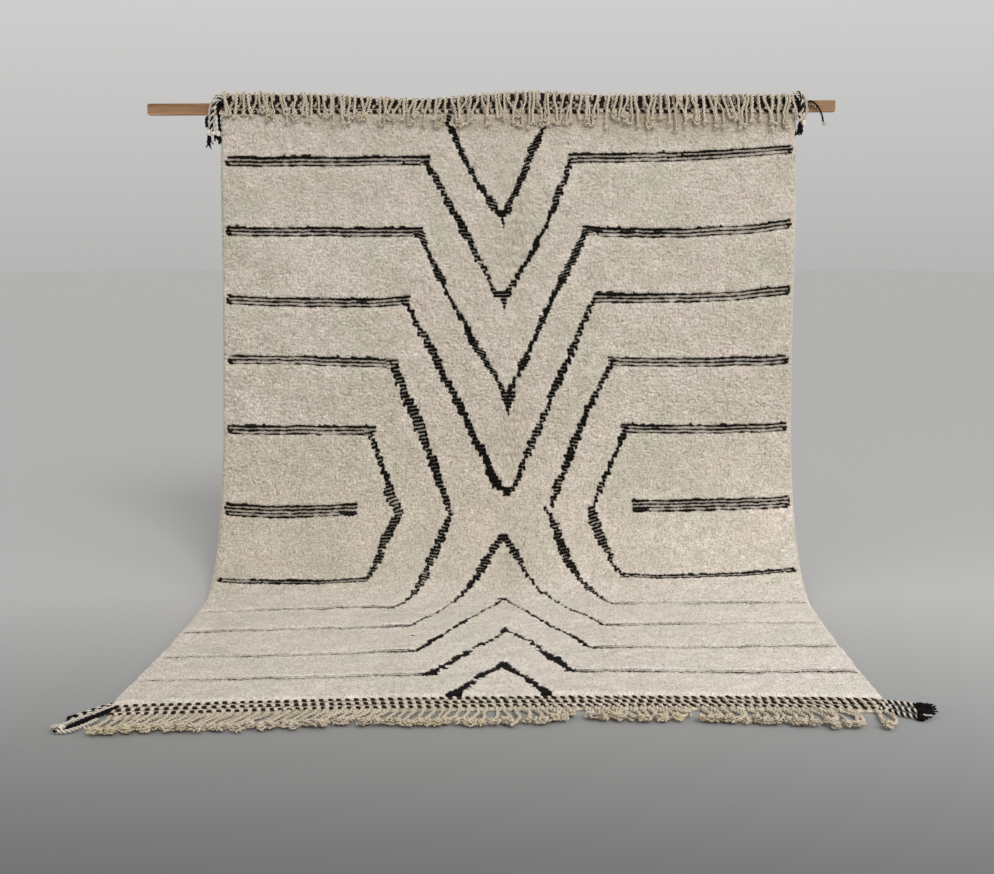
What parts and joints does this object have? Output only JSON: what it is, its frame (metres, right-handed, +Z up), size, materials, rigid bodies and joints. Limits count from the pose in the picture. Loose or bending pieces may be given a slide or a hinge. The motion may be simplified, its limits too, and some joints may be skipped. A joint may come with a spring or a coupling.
{
  "type": "beni ourain rug hanging from a wooden rod",
  "caption": "Thick ivory hand-knotted wool rug with dark chevron lines and fringed ends, hanging from a wooden batten and curving out over the floor.",
  "frame": {"origin": "middle of the rod's flat back face, on the rug's centre line", "axes": "+X across the rug to the viewer's right, +Y out of the rod's back towards what holds it, +Z up; the pile faces -Y"},
  "size_m": [2.3713, 1.7451, 1.7058],
  "materials": {
    "batten_wood": "planed, oiled, worn along the edges",
    "ivory_wool": "knotted undyed ivory wool pile with dark brown knotted lines",
    "check_wool": "twined dark and ivory wool, beige warp fringe",
    "dark_wool": "braided dark and ivory wool yarn"
  },
  "bodies": {
    "root": {"rod": "batten_wood", "rug": "ivory_wool", "top_band": "check_wool", "end_band": "check_wool", "tail_top_left": "dark_wool", "tail_top_right": "dark_wool", "tail_end_left": "dark_wool", "tail_end_right": "dark_wool", "loose_yarn": "dark_wool"}
  },
  "joints": []
}
